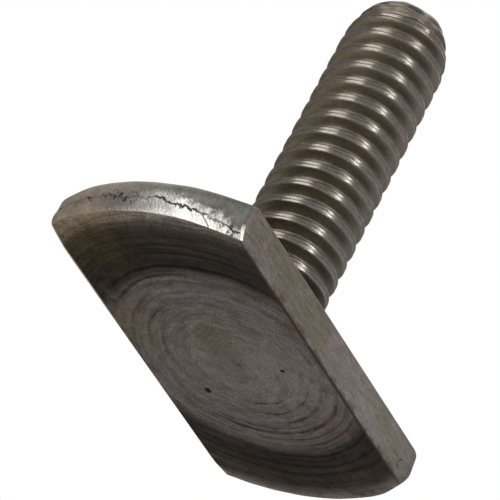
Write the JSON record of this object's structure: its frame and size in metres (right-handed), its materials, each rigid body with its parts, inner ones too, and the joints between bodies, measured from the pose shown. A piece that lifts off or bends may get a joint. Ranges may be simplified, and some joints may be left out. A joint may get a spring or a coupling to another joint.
{
  "type": "t-bolt",
  "caption": "T-bolt with a flat round head cut across by parallel flats, a turned underside and a fully threaded straight shank.",
  "frame": {"origin": "centre of the head's underside, on the shank's axis", "axes": "+Z along the shank, away from the head; X along the head's length; Y across its two flats"},
  "size_m": [0.0246, 0.012, 0.0254],
  "materials": {
    "steel": "plain steel, turned underside, worn"
  },
  "bodies": {
    "root": {"t_bolt": "steel"}
  },
  "joints": []
}
